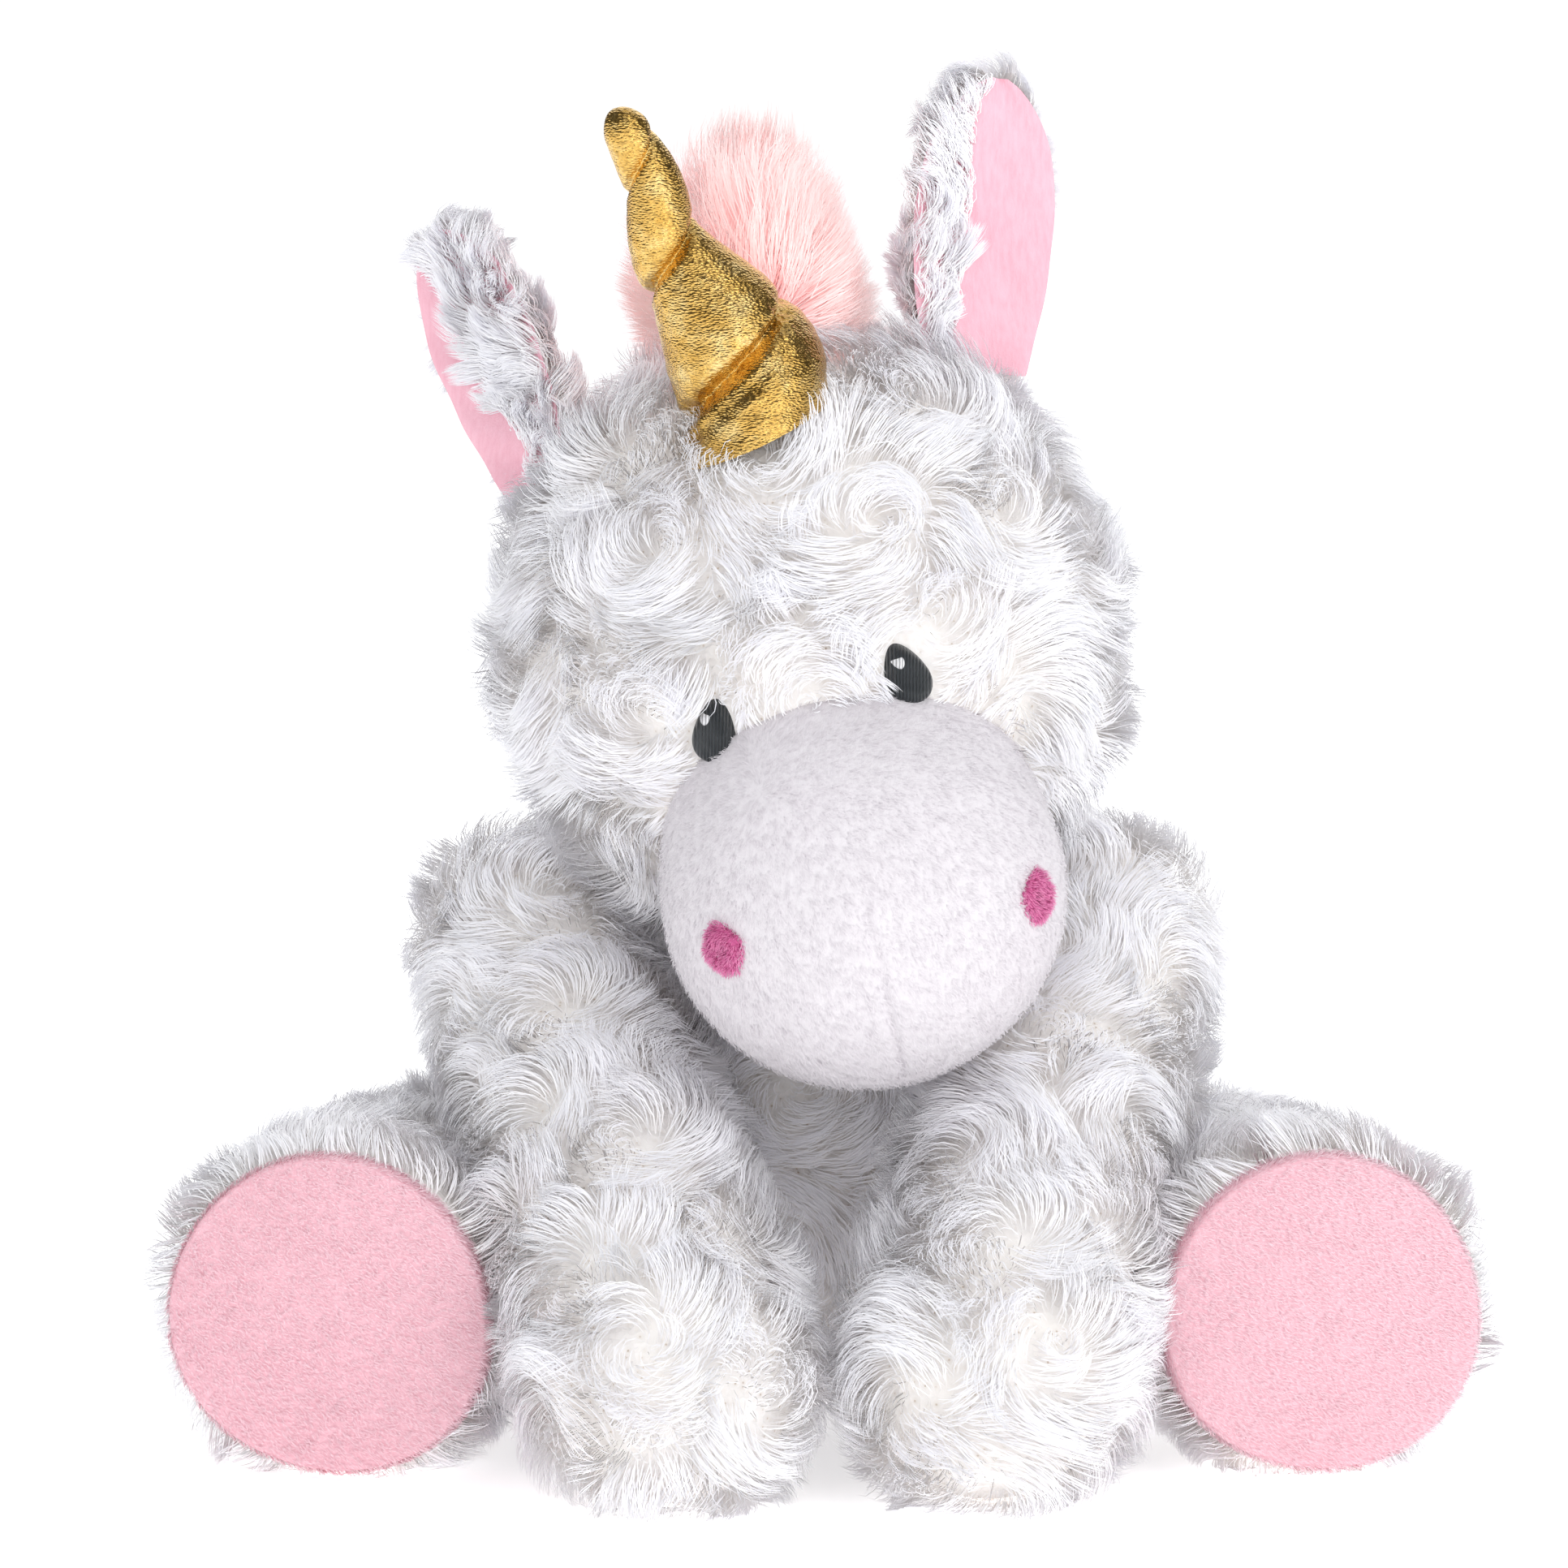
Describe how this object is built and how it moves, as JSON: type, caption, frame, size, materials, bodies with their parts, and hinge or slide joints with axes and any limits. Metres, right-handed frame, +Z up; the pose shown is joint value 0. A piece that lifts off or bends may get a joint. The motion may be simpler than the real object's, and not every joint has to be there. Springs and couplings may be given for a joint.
{
  "type": "plush unicorn",
  "caption": "Seated plush unicorn with a drooping head, wound gold horn, upright ears, mane crest, tail and four jointed soft legs.",
  "frame": {"origin": "on the surface it sits on, under the middle of its outline", "axes": "+Z up and longest; it faces -Y; its own right side is at -X"},
  "size_m": [0.2956, 0.3018, 0.3199],
  "materials": {
    "white_fur": "long curly pile on a cream knit backing",
    "white_plush": "short smooth pile",
    "pink_plush": "short smooth pile",
    "pink_fur": "long straight pile",
    "magenta_plush": "short pile",
    "black_stitch": "satin stitch",
    "white_stitch": "satin stitch",
    "gold_fabric": "metallised knit, shiny",
    "gold_thread": "twisted thread",
    "white_thread": "twisted thread",
    "fibre_fill": "loose polyester fibre",
    "bag_cloth": "plain weave",
    "pellets": "small round beads"
  },
  "bodies": {
    "torso": {"torso_fur_fabric": "white_fur", "torso_stuffing": "fibre_fill", "seat_pellet_bag": "bag_cloth", "seat_pellets": "pellets"},
    "neck": {"neck_collar_fabric": "white_fur", "neck_gathering_thread": "white_thread"},
    "head": {"head_fur_fabric": "white_fur", "muzzle_plush": "white_plush", "head_stuffing": "fibre_fill", "eye_right": "black_stitch", "eye_left": "black_stitch", "eye_glint_right": "white_stitch", "eye_glint_left": "white_stitch", "nostril_right": "magenta_plush", "nostril_left": "magenta_plush", "mane_crest_fabric": "pink_fur", "mane_crest_stuffing": "fibre_fill"},
    "horn": {"horn_gold_fabric": "gold_fabric", "horn_stuffing": "fibre_fill", "horn_winding_thread": "gold_thread"},
    "ear_right": {"ear_right_fur_back": "white_fur", "ear_right_lining": "pink_plush"},
    "ear_left": {"ear_left_fur_back": "white_fur", "ear_left_lining": "pink_plush"},
    "front_leg_right": {"front_leg_right_fur_fabric": "white_fur", "front_leg_right_stuffing": "fibre_fill"},
    "front_leg_left": {"front_leg_left_fur_fabric": "white_fur", "front_leg_left_stuffing": "fibre_fill"},
    "hind_leg_right": {"hind_leg_right_fur_fabric": "white_fur", "hind_leg_right_stuffing": "fibre_fill", "foot_pad_right": "pink_plush"},
    "hind_leg_left": {"hind_leg_left_fur_fabric": "white_fur", "hind_leg_left_stuffing": "fibre_fill", "foot_pad_left": "pink_plush"},
    "tail": {"tail_fur_fabric": "pink_fur", "tail_stuffing": "fibre_fill"}
  },
  "joints": [
    {"name": "head_turn", "type": "hinge", "parent": "torso", "child": "neck", "pos_m": [-0.00335, -0.03095, 0.184], "axis": [0, -0.5299, 0.848], "range_deg": [-20, 8]},
    {"name": "head_nod", "type": "hinge", "parent": "neck", "child": "head", "pos_m": [-0.00335, -0.03095, 0.184], "axis": [-0.9778, -0.0175, -0.2087], "range_deg": [0, 30]},
    {"name": "front_leg_right_lift", "type": "hinge", "parent": "torso", "child": "front_leg_right", "pos_m": [-0.06835, -0.01795, 0.112], "axis": [-0.9273, -0.002, -0.3742], "range_deg": [0, 40]},
    {"name": "front_leg_left_lift", "type": "hinge", "parent": "torso", "child": "front_leg_left", "pos_m": [0.06565, -0.01795, 0.112], "axis": [-0.8368, -0.1804, 0.5169], "range_deg": [0, 40]},
    {"name": "hind_leg_right_splay", "type": "hinge", "parent": "torso", "child": "hind_leg_right", "pos_m": [-0.09235, 0.02105, 0.0335], "axis": [0, 0, -1], "range_deg": [0, 25]},
    {"name": "hind_leg_left_splay", "type": "hinge", "parent": "torso", "child": "hind_leg_left", "pos_m": [0.08865, 0.02305, 0.0335], "axis": [0, 0, 1], "range_deg": [0, 25]},
    {"name": "ear_right_fold", "type": "hinge", "parent": "head", "child": "ear_right", "pos_m": [-0.06339, -0.02666, 0.22259], "axis": [0.4967, -0.5897, 0.6368], "range_deg": [-20, 20], "stiffness_Nm_per_rad": 0.02},
    {"name": "ear_left_fold", "type": "hinge", "parent": "head", "child": "ear_left", "pos_m": [0.03345, -0.02175, 0.24461], "axis": [0.889, 0.437, -0.1367], "range_deg": [-20, 20], "stiffness_Nm_per_rad": 0.02},
    {"name": "horn_sway", "type": "hinge", "parent": "head", "child": "horn", "pos_m": [-0.01541, -0.06986, 0.24068], "axis": [-0.0706, 0.9848, 0.1586], "range_deg": [-8, 8], "stiffness_Nm_per_rad": 0.05},
    {"name": "tail_swing", "type": "hinge", "parent": "torso", "child": "tail", "pos_m": [-0.00135, 0.09005, 0.038], "axis": [0, 0, 1], "range_deg": [-35, 35]}
  ]
}
